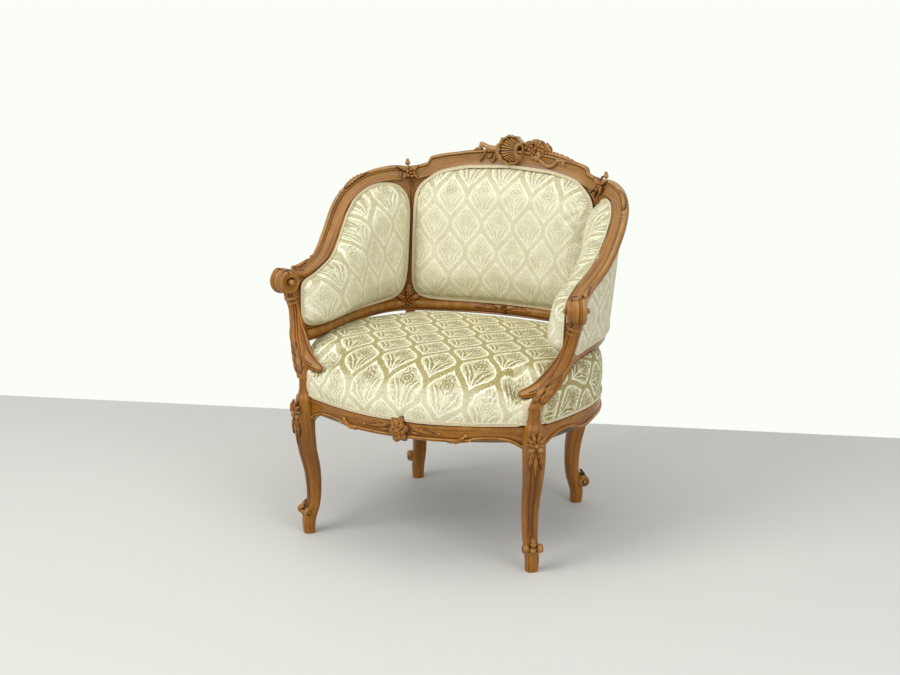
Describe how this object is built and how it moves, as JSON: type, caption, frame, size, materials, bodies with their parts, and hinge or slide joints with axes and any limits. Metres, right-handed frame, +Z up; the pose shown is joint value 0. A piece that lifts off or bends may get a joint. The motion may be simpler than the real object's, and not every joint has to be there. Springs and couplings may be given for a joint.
{
  "type": "bergere chair",
  "caption": "Low bergere armchair with a carved walnut horseshoe frame, cabriole legs, padded back bays and a tight sprung seat in trellis velvet.",
  "frame": {"origin": "on the floor, under the middle of the chair's overall width and depth", "axes": "+Z up, +X to the viewer's right when facing the chair's front, the sitter faces -Y"},
  "size_m": [0.8074, 0.6824, 0.9263],
  "materials": {
    "walnut": "stained and waxed",
    "beech": "sawn, unfinished",
    "velvet": "cut velvet with a trellis pattern",
    "gimp": "woven braid",
    "hessian": "plain open weave",
    "webbing": "woven jute strap",
    "steel": "drawn wire",
    "lining": "black cotton"
  },
  "bodies": {
    "root": {"right_front_leg": "walnut", "right_rear_leg_and_stile": "walnut", "right_arm_post": "walnut", "right_arm_rail": "walnut", "right_seat_rail": "walnut", "right_lower_rail": "walnut", "left_front_leg": "walnut", "left_rear_leg_and_stile": "walnut", "left_arm_post": "walnut", "left_arm_rail": "walnut", "left_seat_rail": "walnut", "left_lower_rail": "walnut", "crest_rail": "walnut", "front_seat_rail": "walnut", "rear_seat_rail": "walnut", "rear_lower_rail": "walnut", "seat_cushion": "velvet", "front_seat_gimp": "gimp", "right_seat_gimp": "gimp", "left_seat_gimp": "gimp", "seat_hessian": "hessian", "seat_webbing": "webbing", "dust_cover": "lining", "seat_spring_1": "steel", "seat_spring_2": "steel", "seat_spring_3": "steel", "seat_spring_4": "steel", "seat_spring_5": "steel", "seat_spring_6": "steel", "seat_spring_7": "steel", "seat_spring_8": "steel", "seat_spring_9": "steel", "right_front_corner_block": "beech", "left_front_corner_block": "beech", "right_rear_corner_block": "beech", "left_rear_corner_block": "beech", "left_back_pad": "velvet", "left_back_hessian": "hessian", "left_outside_panel": "velvet", "centre_back_pad": "velvet", "centre_back_hessian": "hessian", "centre_outside_panel": "velvet", "right_back_pad": "velvet", "right_back_hessian": "hessian", "right_outside_panel": "velvet"}
  },
  "joints": []
}
